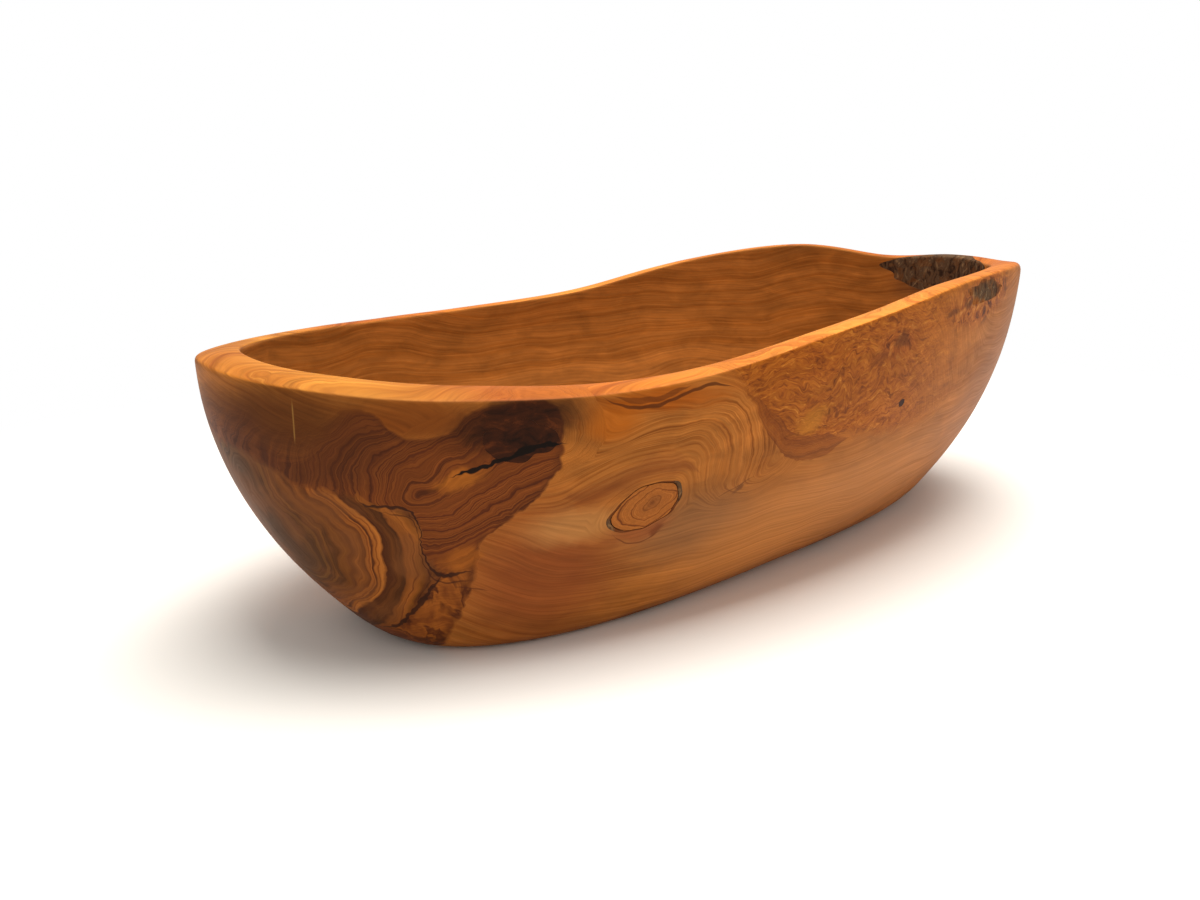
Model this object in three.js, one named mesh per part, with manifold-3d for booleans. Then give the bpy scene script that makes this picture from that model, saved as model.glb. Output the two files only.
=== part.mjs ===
// Boat-shaped serving bowl, carved from one block of olive wood. Millimetres and degrees, +Z up.
// The near end points to -X, the far end to +X, and the front wall faces -Y.
// The origin is the middle of the rim's outline, on the surface that the bowl stands on.
// Dead knots and pockets of bark, which the tree never joined to its wood, are plugs in sockets.

import * as THREE from 'three';
import { ParametricGeometry } from 'three/addons/geometries/ParametricGeometry.js';
import { mergeVertices } from 'three/addons/utils/BufferGeometryUtils.js';
import Module from 'manifold-3d';

const wasm = await Module();
wasm.setup();

// Outline of the rim: a superellipse, a little fuller than an ellipse
const LENGTH = 389;
const WIDTH = 186;
const RIM_POWER = 2.1;

// Height of the rim's outer edge at even steps round the bowl: from the far end along the back wall,
// round the near end, and home along the front wall
const RIM_HEIGHTS = [
  114.5, 112.5, 118, 112, 99.5, 96, 96, 97,
  98, 94.5, 90, 90.5, 102.5, 113.5, 116, 114.5,
];
// Lean of the rim's top face at even steps the same way round, positive where its outer edge is lower
const RIM_LEANS = [-3, 5.5, 7, 7, 5.5, 8.5, -8, -11.5];
const RIM_WIDTH = 14;
const RIM_CROWN = 0.5;
const RIM_OUTER_ROUND = 1.2;
const RIM_INNER_ROUND = 3;

// Base: a flat, squarer outline, askew under the rim
const BASE_LENGTH = 302;
const BASE_WIDTH = 104;
const BASE_POWER = 2.75;
// Share by which the base's near end is fuller than its middle, and its far end slimmer
const BASE_FULLNESS = 0.11;
const BASE_SHIFT_X = 1;
const BASE_SHIFT_Y = -3;
const BASE_TURN = 5;
const BASE_ROUND = 8;

// Power of the outer wall's flare: it leaves the base at a slant and is upright at the rim
const END_FLARE = 2.2;
const SIDE_FLARE = 2.2;

// Hollow: the wall widens from the rim's width down to its foot, and a cove leads onto the flat floor
const FLOOR_THICKNESS = 14;
const WALL_FOOT = 22;
const COVE_HEIGHT = 26;
const COVE_WIDTH = 24;

// Knots and bark pockets. Each has its place as a turn about Z and a share of the wall's height,
// the length, height and tilt of its outline, its depth, the taper of its root and its edge's waviness.
const FRONT_KNOT = {
  turn: -115.5, rise: 0.55, length: 31, height: 17, tilt: 18, depth: 9, taper: 0.8, wave: 0.02,
};
const RIM_KNOT = {
  turn: -128.5, rise: 0.86, length: 24, height: 14, tilt: 4, depth: 7, taper: 0.75, wave: 0.04,
};
const PIN_KNOT = {
  turn: -79, rise: 0.64, length: 5.5, height: 5, tilt: 0, depth: 6, taper: 0.7, wave: 0.02,
};
const OUTER_BARK = {
  turn: -62.5, rise: 0.94, length: 38, height: 9.5, tilt: -3, depth: 6, taper: 0.8, wave: 0.08,
};
const INNER_BARK = {
  turn: 2.5, rise: 0.925, length: 40, height: 22, tilt: 0, depth: 4, taper: 0.85, wave: 0.05,
};
const WAVES = 5;

// Bark between the front knot and its socket: thick at the two ends, thin along the sides
const BARK_AT_ENDS = 2.6;
const BARK_AT_SIDES = 1.3;

// Clearance between a plug and what it sits in
const SEAT_GAP = 0.3;
// How far a cutting form stands out of the wall that it cuts
const CUT_PROUD = 6;

// Steps that round forms are cut into
const TURN_STEPS = 84;
const PLUG_SIDES = 40;
const EDGE_STEPS = 3;
const OUTSIDE_STEPS = 10;
const INSIDE_STEPS = 6;
const COVE_STEPS = 5;
const FLOOR_STEPS = 2;

const radians = THREE.MathUtils.degToRad;
const { lerp, euclideanModulo } = THREE.MathUtils;

// Smooth closed run through values measured at even steps round the bowl
function measuredRound(values) {
  const marks = values.map((value) => new THREE.Vector3(value, 0, 0));
  const run = new THREE.CatmullRomCurve3(marks, true, 'catmullrom', 0.5);
  return (turn) => run.getPoint(euclideanModulo(turn / (2 * Math.PI), 1)).x;
}

const rimHeight = measuredRound(RIM_HEIGHTS);
const rimLean = measuredRound(RIM_LEANS);

// Point of a superellipse at a turn, fuller towards -X by a share
function outline(turn, halfLength, halfWidth, power, fullness) {
  const spread = Math.abs(Math.cos(turn)) ** power + Math.abs(Math.sin(turn)) ** power;
  const along = Math.cos(turn) * spread ** (-1 / power);
  const across = Math.sin(turn) * spread ** (-1 / power);
  return new THREE.Vector3(halfLength * along, halfWidth * across * (1 - fullness * along), 0);
}

function rimOuterEdge(turn) {
  return outline(turn, LENGTH / 2, WIDTH / 2, RIM_POWER, 0).setZ(rimHeight(turn));
}

function rimInnerEdge(turn) {
  const edge = outline(turn, LENGTH / 2 - RIM_WIDTH, WIDTH / 2 - RIM_WIDTH, RIM_POWER, 0);
  return edge.setZ(rimHeight(turn) + RIM_WIDTH * Math.tan(radians(rimLean(turn))));
}

const BASE_MIDDLE = new THREE.Vector3(BASE_SHIFT_X, BASE_SHIFT_Y, 0);
const FLOOR_MIDDLE = new THREE.Vector3(BASE_SHIFT_X, BASE_SHIFT_Y, FLOOR_THICKNESS);
const UP = new THREE.Vector3(0, 0, 1);

function baseEdge(turn) {
  const edge = outline(turn, BASE_LENGTH / 2, BASE_WIDTH / 2, BASE_POWER, BASE_FULLNESS);
  return edge.applyAxisAngle(UP, radians(BASE_TURN)).add(BASE_MIDDLE);
}

// Outside of the wall, at a share of its height
function outerWall(turn, rise) {
  const flare = lerp(SIDE_FLARE, END_FLARE, Math.cos(turn) ** 2);
  const out = 1 - (1 - rise) ** flare;
  return baseEdge(turn).lerp(rimOuterEdge(turn), out).setZ(rise * rimHeight(turn));
}

// Level step from the outside of the bowl towards its inside, of a given width
function inward(turn, width) {
  return rimInnerEdge(turn).sub(rimOuterEdge(turn)).setZ(0).multiplyScalar(width / RIM_WIDTH);
}

// Inside of the wall, at a share of its height
function innerWall(turn, rise) {
  const width = lerp(RIM_WIDTH, WALL_FOOT, (1 - rise) ** 2);
  return outerWall(turn, Math.min(rise, 1)).add(inward(turn, width)).setZ(rise * rimHeight(turn));
}

// Point that lies a distance from one point towards another
function towards(from, to, distance) {
  return from.clone().addScaledVector(to.clone().sub(from).normalize(), distance);
}

// Points of half a cross-section, from the middle of the base up the outside, over the rim
// and down the inside to the middle of the floor
function section(turn) {
  const height = rimHeight(turn);
  const base = baseEdge(turn);
  const outer = rimOuterEdge(turn);
  const inner = rimInnerEdge(turn);
  const floorEdge = innerWall(turn, FLOOR_THICKNESS / height);
  const footRise = BASE_ROUND / height;
  const coveRise = (FLOOR_THICKNESS + COVE_HEIGHT) / height;
  const innerRise = (inner.z - RIM_INNER_ROUND) / height;

  const baseInset = towards(base, BASE_MIDDLE, BASE_ROUND);
  const rimStart = towards(outer, inner, RIM_OUTER_ROUND);
  const rimEnd = towards(inner, outer, RIM_INNER_ROUND);
  // A curve's handle stands twice as far out as the crown that it draws
  const rimHandle = rimStart.clone().lerp(rimEnd, 0.5).addScaledVector(UP, 2 * RIM_CROWN);
  const coveEnd = floorEdge.clone().add(inward(turn, COVE_WIDTH));
  const bend = (from, corner, to) => {
    const curve = new THREE.QuadraticBezierCurve3(from, corner, to);
    return (share) => curve.getPoint(share);
  };
  const outerTop = 1 - RIM_OUTER_ROUND / height;

  const spans = [
    [1, (share) => BASE_MIDDLE.clone().lerp(baseInset, share)],
    [EDGE_STEPS, bend(baseInset, base, outerWall(turn, footRise))],
    [OUTSIDE_STEPS, (share) => outerWall(turn, lerp(footRise, outerTop, share))],
    [EDGE_STEPS, bend(outerWall(turn, outerTop), outer, rimStart)],
    [EDGE_STEPS, bend(rimStart, rimHandle, rimEnd)],
    [EDGE_STEPS, bend(rimEnd, inner, innerWall(turn, innerRise))],
    [INSIDE_STEPS, (share) => innerWall(turn, lerp(innerRise, coveRise, share))],
    [COVE_STEPS, bend(innerWall(turn, coveRise), floorEdge, coveEnd)],
    [FLOOR_STEPS, (share) => coveEnd.clone().lerp(FLOOR_MIDDLE, share)],
  ];
  const points = [BASE_MIDDLE];
  for (const [steps, point] of spans) {
    for (let step = 1; step <= steps; step += 1) points.push(point(step / steps));
  }
  return points;
}

// Solid of a closed geometry, with its shared corners merged and its empty faces left out
function solid(geometry) {
  geometry.deleteAttribute('normal');
  geometry.deleteAttribute('uv');
  const merged = mergeVertices(geometry);
  const corners = merged.index.array;
  const triVerts = [];
  for (let face = 0; face < corners.length; face += 3) {
    const triangle = [...corners.slice(face, face + 3)];
    if (new Set(triangle).size === 3) triVerts.push(...triangle);
  }
  const vertProperties = merged.attributes.position.array;
  const shell = { numProp: 3, vertProperties, triVerts: Uint32Array.from(triVerts) };
  return new wasm.Manifold(new wasm.Mesh(shell));
}

// The carved block before its sockets are cut: a loft of the section round the bowl
function carvedBlock() {
  const sections = [];
  for (let step = 0; step < TURN_STEPS; step += 1) {
    sections.push(section((2 * Math.PI * step) / TURN_STEPS));
  }
  const rows = sections[0].length - 1;
  const surface = (u, v, target) => {
    const points = sections[Math.round(u * TURN_STEPS) % TURN_STEPS];
    target.copy(points[Math.round(v * rows)]);
  };
  return solid(new ParametricGeometry(surface, TURN_STEPS, rows));
}

// Frame on a wall for a plug: X along the wall, Y up it and Z out of the wood
function wallFrame(wall, place, facing) {
  const turn = radians(place.turn);
  const nudge = 0.01;
  const along = wall(turn + nudge, place.rise).sub(wall(turn - nudge, place.rise)).multiplyScalar(facing);
  const upward = wall(turn, place.rise + nudge).sub(wall(turn, place.rise - nudge));
  const out = along.clone().cross(upward).normalize();
  along.normalize();
  const frame = new THREE.Matrix4().makeBasis(along, out.clone().cross(along), out);
  frame.setPosition(wall(turn, place.rise));
  return frame.multiply(new THREE.Matrix4().makeRotationZ(radians(place.tilt)));
}

// Tapered, wavy-edged oval that cuts a plug or its socket out of the wall, smaller all round by a gap
function plugForm(place, frame, endGap, sideGap, depthGap) {
  const reach = CUT_PROUD + place.depth - depthGap;
  const form = new THREE.CylinderGeometry(1, place.taper, reach, PLUG_SIDES);
  form.translate(0, CUT_PROUD - reach / 2, 0);
  form.rotateX(Math.PI / 2);
  const points = form.attributes.position;
  for (let i = 0; i < points.count; i += 1) {
    const wave = 1 + place.wave * Math.sin(WAVES * Math.atan2(points.getY(i), points.getX(i)));
    points.setX(i, points.getX(i) * wave * (place.length / 2 - endGap));
    points.setY(i, points.getY(i) * wave * (place.height / 2 - sideGap));
  }
  return solid(form.applyMatrix4(frame));
}

function mesh(name, body, colour, roughness) {
  const { vertProperties, triVerts } = body.getMesh();
  const geometry = new THREE.BufferGeometry();
  geometry.setAttribute('position', new THREE.BufferAttribute(vertProperties, 3));
  geometry.setIndex(new THREE.BufferAttribute(triVerts, 1));
  geometry.computeVertexNormals();
  const material = new THREE.MeshStandardMaterial({ color: colour, roughness, metalness: 0 });
  const piece = new THREE.Mesh(geometry, material);
  piece.name = name;
  return piece;
}

const OUTWARD = 1;
const INWARD = -1;
const block = carvedBlock();
const bowl = new THREE.Group();
let body = block;

// Plug that fills its own socket
function addPlug(name, place, wall, facing, colour, roughness) {
  const frame = wallFrame(wall, place, facing);
  body = body.subtract(plugForm(place, frame, 0, 0, 0));
  const plug = block.intersect(plugForm(place, frame, SEAT_GAP, SEAT_GAP, SEAT_GAP));
  bowl.add(mesh(name, plug, colour, roughness));
}

// Knot in a sleeve of bark, which fills their socket
function addKnotInBark(name, place, colour, barkColour) {
  const frame = wallFrame(outerWall, place, OUTWARD);
  const atEnds = SEAT_GAP + BARK_AT_ENDS;
  const atSides = SEAT_GAP + BARK_AT_SIDES;
  body = body.subtract(plugForm(place, frame, 0, 0, 0));
  const bore = plugForm(place, frame, atEnds, atSides, -CUT_PROUD);
  const bark = block.intersect(plugForm(place, frame, SEAT_GAP, SEAT_GAP, SEAT_GAP)).subtract(bore);
  const knot = block.intersect(plugForm(place, frame, atEnds + SEAT_GAP, atSides + SEAT_GAP, SEAT_GAP));
  bowl.add(mesh(name, knot, colour, 0.5), mesh(`${name}_bark`, bark, barkColour, 0.85));
}

addKnotInBark('front_knot', FRONT_KNOT, '#a4602c', '#3b2a24');
addPlug('rim_knot', RIM_KNOT, outerWall, OUTWARD, '#4a2617', 0.55);
addPlug('pin_knot', PIN_KNOT, outerWall, OUTWARD, '#5a3018', 0.55);
addPlug('outer_bark_pocket', OUTER_BARK, outerWall, OUTWARD, '#4d4136', 0.85);
addPlug('inner_bark_pocket', INNER_BARK, innerWall, INWARD, '#54443a', 0.8);
bowl.add(mesh('bowl_body', body, '#96592b', 0.45));

export default bowl;
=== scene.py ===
# Looks of a boat-shaped serving bowl that is carved from one block of olive wood.
# Sizes are in millimetres and degrees, in the frame's own axes, and a mesh becomes metres when it is done.

import math
from types import SimpleNamespace

import bmesh
import bpy
from mathutils import Matrix, Vector, noise


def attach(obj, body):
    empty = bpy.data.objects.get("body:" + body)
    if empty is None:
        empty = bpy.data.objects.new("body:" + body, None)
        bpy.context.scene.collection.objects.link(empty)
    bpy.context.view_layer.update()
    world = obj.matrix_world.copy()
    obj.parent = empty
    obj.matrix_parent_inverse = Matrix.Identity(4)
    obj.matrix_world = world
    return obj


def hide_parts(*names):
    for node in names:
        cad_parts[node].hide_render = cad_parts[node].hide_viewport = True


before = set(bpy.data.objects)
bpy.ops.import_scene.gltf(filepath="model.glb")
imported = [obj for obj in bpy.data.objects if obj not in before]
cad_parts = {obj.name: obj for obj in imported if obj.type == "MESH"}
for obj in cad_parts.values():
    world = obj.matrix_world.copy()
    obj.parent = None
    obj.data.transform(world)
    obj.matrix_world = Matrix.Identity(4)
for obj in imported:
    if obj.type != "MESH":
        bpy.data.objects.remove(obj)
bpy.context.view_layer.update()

MM = 0.001

# Outline of the rim, its height and lean at even steps round the bowl, and its rounded edges
LENGTH = 389
WIDTH = 186
RIM_POWER = 2.1
RIM_HEIGHTS = [
    114.5, 112.5, 118, 112, 99.5, 96, 96, 97,
    98, 94.5, 90, 90.5, 102.5, 113.5, 116, 114.5,
]
RIM_LEANS = [-3, 5.5, 7, 7, 5.5, 8.5, -8, -11.5]
RIM_WIDTH = 14
RIM_CROWN = 0.5
RIM_OUTER_ROUND = 1.6
FAR_END_ROUND = 6
RIM_INNER_ROUND = 1.5

# Base, flare of the outer wall, and hollow
BASE_LENGTH = 302
BASE_WIDTH = 104
BASE_POWER = 2.75
BASE_FULLNESS = 0.11
BASE_SHIFT_X = 1
BASE_SHIFT_Y = -3
BASE_TURN = 5
BASE_ROUND = 8
FLARE = 2.2
FLOOR_THICKNESS = 14
WALL_FOOT = 22
COVE_HEIGHT = 26
COVE_WIDTH = 24

# Knots and bark pockets: place, outline, and how far the form that cuts each stands proud of the wall
FRONT_KNOT = dict(
    turn=-115.5, rise=0.55, length=31, height=17, tilt=18, depth=9,
    taper=0.8, wave=0.02, ragged=0.12, proud=6)
RIM_KNOT = dict(
    turn=-128.5, rise=0.86, length=24, height=14, tilt=4, depth=7,
    taper=0.75, wave=0.04, ragged=0.25, proud=6)
PIN_KNOT = dict(
    turn=-79, rise=0.64, length=4.4, height=4, tilt=0, depth=6,
    taper=0.7, wave=0.02, ragged=0.2, proud=6)
OUTER_BARK = dict(
    turn=-62.5, rise=0.94, length=38, height=9.5, tilt=-3, depth=6,
    taper=0.8, wave=0.08, ragged=0.35, proud=6)
# The inner pocket lies in the bend of the far end, so its form stands out farther
INNER_BARK = dict(
    turn=0, rise=0.925, length=62, height=24, tilt=0, depth=4,
    taper=0.85, wave=0.05, ragged=0.2, proud=18)
# Waves round each outline, and how finely its ragged edge is broken
WAVES = 5
RAGGED_STEPS = 2.2
# Bark between the front knot and its socket, and how much farther its bore goes, right through it
BARK_AT_ENDS = 2
BARK_AT_SIDES = 0.3
BORE_EXTRA_DEPTH = 6
# Hairline between a knot and the wood round it, too thin to show
HAIRLINE = 0.03

# Steps that the fine surface is cut into
TURN_STEPS = 360
PLUG_SIDES = 96
BASE_STEPS = 8
EDGE_STEPS = 7
OUTSIDE_STEPS = 44
INSIDE_STEPS = 30
COVE_STEPS = 16
FLOOR_STEPS = 12

UP = Vector((0, 0, 1))
BASE_MIDDLE = Vector((BASE_SHIFT_X, BASE_SHIFT_Y, 0))
FLOOR_MIDDLE = Vector((BASE_SHIFT_X, BASE_SHIFT_Y, FLOOR_THICKNESS))


def measured_round(values):
    """Smooth closed run through values measured at even steps round the bowl."""
    count = len(values)

    def at(turn):
        place = turn / (2 * math.pi) % 1 * count
        first = math.floor(place)
        share = place - first
        before, start, end, after = (values[(first + k) % count] for k in (-1, 0, 1, 2))
        leave = (end - before) / 2
        arrive = (after - start) / 2
        bend = 3 * (end - start) - 2 * leave - arrive
        twist = 2 * (start - end) + leave + arrive
        return start + share * (leave + share * (bend + share * twist))

    return at


rim_height = measured_round(RIM_HEIGHTS)
rim_lean = measured_round(RIM_LEANS)


def outline(turn, half_length, half_width, power, fullness):
    """Point of a superellipse at a turn, fuller towards -X by a share."""
    spread = (abs(math.cos(turn)) ** power + abs(math.sin(turn)) ** power) ** (-1 / power)
    along = math.cos(turn) * spread
    across = math.sin(turn) * spread
    return Vector((half_length * along, half_width * across * (1 - fullness * along), 0))


def rim_outer_edge(turn):
    edge = outline(turn, LENGTH / 2, WIDTH / 2, RIM_POWER, 0)
    edge.z = rim_height(turn)
    return edge


def rim_inner_edge(turn):
    edge = outline(turn, LENGTH / 2 - RIM_WIDTH, WIDTH / 2 - RIM_WIDTH, RIM_POWER, 0)
    edge.z = rim_height(turn) + RIM_WIDTH * math.tan(math.radians(rim_lean(turn)))
    return edge


def rim_round(turn):
    """Rounding of the rim's outer edge, which is worn softer at the far end."""
    return RIM_OUTER_ROUND + FAR_END_ROUND * max(math.cos(turn), 0) ** 2


def base_edge(turn):
    edge = outline(turn, BASE_LENGTH / 2, BASE_WIDTH / 2, BASE_POWER, BASE_FULLNESS)
    return Matrix.Rotation(math.radians(BASE_TURN), 3, "Z") @ edge + BASE_MIDDLE


def outer_wall(turn, rise):
    """Outside of the wall, at a share of its height."""
    point = base_edge(turn).lerp(rim_outer_edge(turn), 1 - (1 - rise) ** FLARE)
    point.z = rise * rim_height(turn)
    return point


def inward(turn, width):
    """Level step from the outside of the bowl towards its inside, of a given width."""
    step = rim_inner_edge(turn) - rim_outer_edge(turn)
    step.z = 0
    return step * (width / RIM_WIDTH)


def inner_wall(turn, rise):
    """Inside of the wall, at a share of its height."""
    width = RIM_WIDTH + (WALL_FOOT - RIM_WIDTH) * (1 - rise) ** 2
    point = outer_wall(turn, min(rise, 1)) + inward(turn, width)
    point.z = rise * rim_height(turn)
    return point


def towards(start, end, distance):
    return start + (end - start).normalized() * distance


def bend(start, corner, end):
    """Curve round a corner, as a function of the share of its length."""
    return lambda share: start.lerp(corner, share).lerp(corner.lerp(end, share), share)


def section(turn):
    """Points of half a cross-section, from the middle of the base over the rim to the middle of the floor."""
    height = rim_height(turn)
    base = base_edge(turn)
    outer = rim_outer_edge(turn)
    inner = rim_inner_edge(turn)
    foot_rise = BASE_ROUND / height
    top_rise = 1 - rim_round(turn) / height
    cove_rise = (FLOOR_THICKNESS + COVE_HEIGHT) / height
    inner_rise = (inner.z - RIM_INNER_ROUND) / height
    base_inset = towards(base, BASE_MIDDLE, BASE_ROUND)
    rim_start = towards(outer, inner, rim_round(turn))
    rim_end = towards(inner, outer, RIM_INNER_ROUND)
    rim_handle = rim_start.lerp(rim_end, 0.5) + UP * 2 * RIM_CROWN
    floor_edge = inner_wall(turn, FLOOR_THICKNESS / height)
    cove_end = floor_edge + inward(turn, COVE_WIDTH)
    spans = [
        (BASE_STEPS, lambda share: BASE_MIDDLE.lerp(base_inset, share)),
        (EDGE_STEPS, bend(base_inset, base, outer_wall(turn, foot_rise))),
        (OUTSIDE_STEPS, lambda share: outer_wall(turn, foot_rise + (top_rise - foot_rise) * share)),
        (EDGE_STEPS, bend(outer_wall(turn, top_rise), outer, rim_start)),
        (EDGE_STEPS, bend(rim_start, rim_handle, rim_end)),
        (EDGE_STEPS, bend(rim_end, inner, inner_wall(turn, inner_rise))),
        (INSIDE_STEPS, lambda share: inner_wall(turn, inner_rise + (cove_rise - inner_rise) * share)),
        (COVE_STEPS, bend(inner_wall(turn, cove_rise), floor_edge, cove_end)),
        (FLOOR_STEPS, lambda share: cove_end.lerp(FLOOR_MIDDLE, share)),
    ]
    points = [BASE_MIDDLE]
    for steps, point in spans:
        points += [point((step + 1) / steps) for step in range(steps)]
    return points


# Slow swells that a carver's hand leaves in the wall: their depth and their breadth
SWELL_DEPTH = 0.3
SWELL_BREADTH = 34
# Height above the base where the swells are at their full depth
SWELL_START = 12


def carved_block():
    """The block before its sockets are cut: a grid of sections, rolled up round the bowl."""
    sections = [section(2 * math.pi * step / TURN_STEPS) for step in range(TURN_STEPS)]
    rows = len(sections[0]) - 1
    bm = bmesh.new()
    bmesh.ops.create_grid(bm, x_segments=TURN_STEPS, y_segments=rows, size=1)
    for vert in bm.verts:
        step = round((vert.co.x + 1) / 2 * TURN_STEPS) % TURN_STEPS
        row = round((vert.co.y + 1) / 2 * rows)
        vert.co = sections[step][row]
    bmesh.ops.remove_doubles(bm, verts=bm.verts, dist=HAIRLINE)
    bmesh.ops.recalc_face_normals(bm, faces=bm.faces)
    bm.normal_update()
    for vert in bm.verts:
        share = min(max(vert.co.z / SWELL_START, 0), 1)
        vert.co += vert.normal * SWELL_DEPTH * share * noise.noise(vert.co / SWELL_BREADTH)
    return bm


def wall_frame(wall, place, facing):
    """Frame on a wall for a plug: X along the wall, Y up it and Z out of the wood."""
    turn = math.radians(place["turn"])
    nudge = 0.01
    along = (wall(turn + nudge, place["rise"]) - wall(turn - nudge, place["rise"])) * facing
    upward = wall(turn, place["rise"] + nudge) - wall(turn, place["rise"] - nudge)
    out = along.cross(upward).normalized()
    along.normalize()
    axes = Matrix((along, out.cross(along), out)).transposed().to_4x4()
    middle = Matrix.Translation(wall(turn, place["rise"]))
    return middle @ axes @ Matrix.Rotation(math.radians(place["tilt"]), 4, "Z")


def add_plug_form(bm, place, frame_on_wall, end_gap, side_gap, depth_gap):
    """Tapered, wavy-edged oval that cuts a plug or its socket, smaller all round by a gap."""
    reach = place["proud"] + place["depth"] - depth_gap
    made = bmesh.ops.create_cone(
        bm, cap_ends=True, segments=PLUG_SIDES, radius1=place["taper"], radius2=1, depth=reach)
    for vert in made["verts"]:
        around = vert.co.xy.normalized() * RAGGED_STEPS
        wave = 1 + place["wave"] * math.sin(WAVES * math.atan2(vert.co.y, vert.co.x))
        wave += place["ragged"] * noise.noise((around.x, around.y, place["turn"]))
        vert.co.x *= wave * (place["length"] / 2 - end_gap)
        vert.co.y *= wave * (place["height"] / 2 - side_gap)
        vert.co.z += place["proud"] - reach / 2
    bmesh.ops.transform(bm, matrix=frame_on_wall, verts=made["verts"])
    return made["verts"]


def new_object(name, bm):
    """Object of a mesh in millimetres, which becomes metres here."""
    bmesh.ops.recalc_face_normals(bm, faces=bm.faces)
    bmesh.ops.scale(bm, vec=(MM, MM, MM), verts=bm.verts)
    mesh = bpy.data.meshes.new(name)
    bm.to_mesh(mesh)
    bm.free()
    made = bpy.data.objects.new(name, mesh)
    bpy.context.scene.collection.objects.link(made)
    return made


SHARP_ANGLE = 35


def cut(name, block, form, operation):
    """New object of the block cut by a form."""
    made = bpy.data.objects.new(name, block.data)
    bpy.context.scene.collection.objects.link(made)
    step = made.modifiers.new("cut", "BOOLEAN")
    step.operation = operation
    step.solver = "MANIFOLD"
    step.object = form
    whole = made.evaluated_get(bpy.context.evaluated_depsgraph_get())
    mesh = bpy.data.meshes.new_from_object(whole)
    made.modifiers.clear()
    made.data = mesh
    mesh.name = name
    mesh.materials.clear()
    mesh.shade_smooth()
    mesh.set_sharp_from_angle(angle=math.radians(SHARP_ANGLE))
    return made


OUTWARD = 1
INWARD = -1
PLUGS = {
    "rim_knot": (RIM_KNOT, outer_wall, OUTWARD),
    "pin_knot": (PIN_KNOT, outer_wall, OUTWARD),
    "outer_bark_pocket": (OUTER_BARK, outer_wall, OUTWARD),
    "inner_bark_pocket": (INNER_BARK, inner_wall, INWARD),
}


def model_pieces():
    """The bowl's body with its sockets, and each plug that fills one."""
    block = new_object("carved_block", carved_block())
    sockets = bmesh.new()
    forms = {}
    for name, (place, wall, facing) in PLUGS.items():
        on_wall = wall_frame(wall, place, facing)
        add_plug_form(sockets, place, on_wall, 0, 0, 0)
        plug = bmesh.new()
        add_plug_form(plug, place, on_wall, HAIRLINE, HAIRLINE, HAIRLINE)
        forms[name] = new_object(name + "_form", plug)

    on_wall = wall_frame(outer_wall, FRONT_KNOT, OUTWARD)
    add_plug_form(sockets, FRONT_KNOT, on_wall, 0, 0, 0)
    sleeve = bmesh.new()
    add_plug_form(sleeve, FRONT_KNOT, on_wall, HAIRLINE, HAIRLINE, HAIRLINE)
    forms["front_knot_bark"] = new_object("front_knot_bark_form", sleeve)
    bore = bmesh.new()
    add_plug_form(bore, FRONT_KNOT, on_wall, BARK_AT_ENDS, BARK_AT_SIDES, -BORE_EXTRA_DEPTH)
    bore_form = new_object("front_knot_bore_form", bore)
    core = bmesh.new()
    add_plug_form(core, FRONT_KNOT, on_wall, BARK_AT_ENDS + HAIRLINE, BARK_AT_SIDES + HAIRLINE, HAIRLINE)
    forms["front_knot"] = new_object("front_knot_form", core)

    socket_form = new_object("socket_forms", sockets)
    made = {"bowl_body": cut("carved_bowl", block, socket_form, "DIFFERENCE")}
    for name, form in forms.items():
        made[name] = cut("grown_" + name, block, form, "INTERSECT")
    filled = made["front_knot_bark"]
    made["front_knot_bark"] = cut("bark_sleeve", filled, bore_form, "DIFFERENCE")
    for helper in [block, socket_form, bore_form, filled, *forms.values()]:
        bpy.data.objects.remove(helper)
    return made


def linear(hex_colour):
    """Linear colour of an sRGB hex value."""
    shares = [int(hex_colour[k:k + 2], 16) / 255 for k in (1, 3, 5)]
    return [s / 12.92 if s <= 0.04045 else ((s + 0.055) / 1.055) ** 2.4 for s in shares] + [1]


def add(tree, kind, links=None, stops=None, marks=None, **settings):
    """Adds a node with its settings and links, and gives back its first output in use."""
    made = tree.nodes.new("ShaderNode" + kind)
    for name, value in settings.items():
        setattr(made, name, value)
    for name, value in (links or {}).items():
        if isinstance(name, int):
            socket = made.inputs[name]
        else:
            socket = next(s for s in made.inputs if s.enabled and s.name == name)
        if isinstance(value, bpy.types.NodeSocket):
            tree.links.new(value, socket)
        else:
            socket.default_value = value
    if stops:
        while len(made.color_ramp.elements) < len(stops):
            made.color_ramp.elements.new(1)
        for element, (place, hex_colour) in zip(made.color_ramp.elements, stops):
            element.position = place
            element.color = linear(hex_colour)
    if marks:
        curve = made.mapping.curves[0]
        while len(curve.points) < len(marks):
            curve.points.new(1, 1)
        for point, mark in zip(curve.points, marks):
            point.location = mark
        made.mapping.update()
    return next((s for s in made.outputs if s.enabled), None)


def started(name):
    """New material with an empty node tree, and its places in millimetres."""
    material = bpy.data.materials.new(name)
    material.use_nodes = True
    tree = material.node_tree
    tree.nodes.clear()
    spot = add(tree, "TexCoord").node.outputs["Object"]
    return material, tree, add(tree, "VectorMath", {0: spot, "Scale": 1 / MM}, operation="SCALE")


def drawn_edge(tree, along, marks):
    """Millimetres across, at each millimetre along, of an edge through a few marks."""
    starts, levels = zip(*marks)
    low, high = min(starts), max(starts)
    floor, top = min(levels), max(levels)
    share = add(tree, "MapRange", {0: along, 1: low, 2: high})
    points = [((a - low) / (high - low), (b - floor) / (top - floor)) for a, b in marks]
    curve = add(tree, "FloatCurve", {"Value": share}, marks=points)
    return add(tree, "MapRange", {0: curve, 3: floor, 4: top})


# Share of a stroke that has its full width, and width of its soft edge
STROKE_CORE = 0.4
STROKE_EDGE = 0.4


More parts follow.
